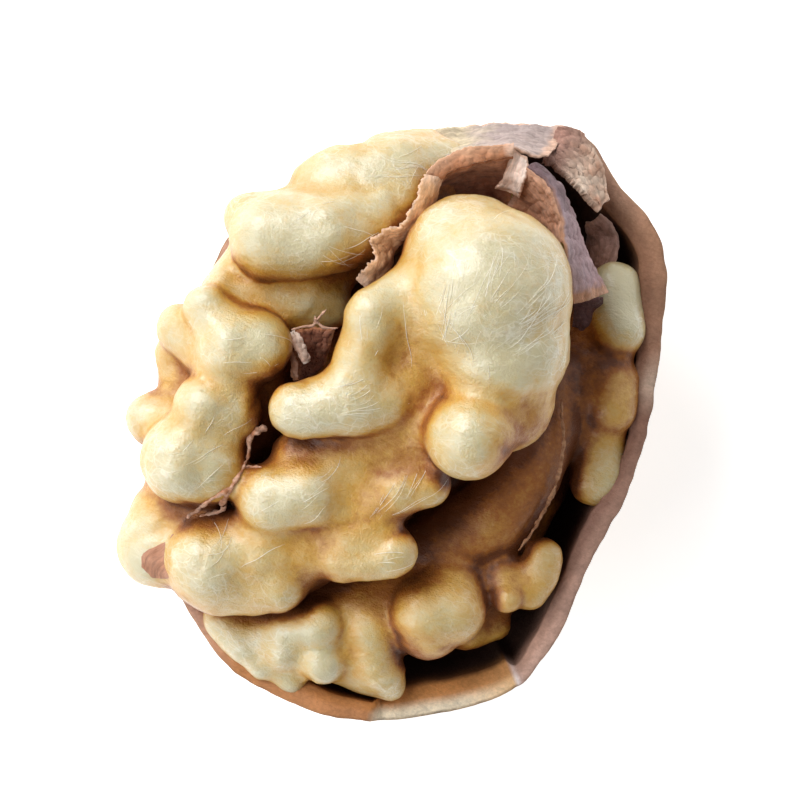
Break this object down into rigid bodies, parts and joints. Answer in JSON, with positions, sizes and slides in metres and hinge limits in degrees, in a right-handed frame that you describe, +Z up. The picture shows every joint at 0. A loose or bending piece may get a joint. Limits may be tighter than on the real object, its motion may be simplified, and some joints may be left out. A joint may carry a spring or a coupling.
{
  "type": "cracked walnut",
  "caption": "Cracked walnut lying on its back: a half shell holding a folded cream kernel, with torn papery septum and a loose flap of shell at the tip.",
  "frame": {"origin": "on the ground under the middle of the whole nut's box", "axes": "+Y along the nut to its pointed tip, +Z up out of the shell's mouth, +X across the nut to the side where the rim is whole"},
  "size_m": [0.0339, 0.0438, 0.0295],
  "materials": {
    "shell": "rough pinkish-brown walnut shell, darker inside",
    "flap": "pale layered broken shell",
    "kernel": "satin cream kernel skin, golden brown in the creases, fine pale veins",
    "kernel_rear": "satin tan kernel skin",
    "septum": "dry fibrous papery brown",
    "septum_dark": "dry papery purple brown"
  },
  "bodies": {
    "root": {"shell": "shell", "shell_flap": "flap", "kernel_front_half": "kernel", "kernel_rear_half": "kernel_rear", "septum": "septum", "septum_back_flap": "septum_dark", "septum_upper_fragment": "septum", "septum_lower_fragment": "septum"}
  },
  "joints": []
}
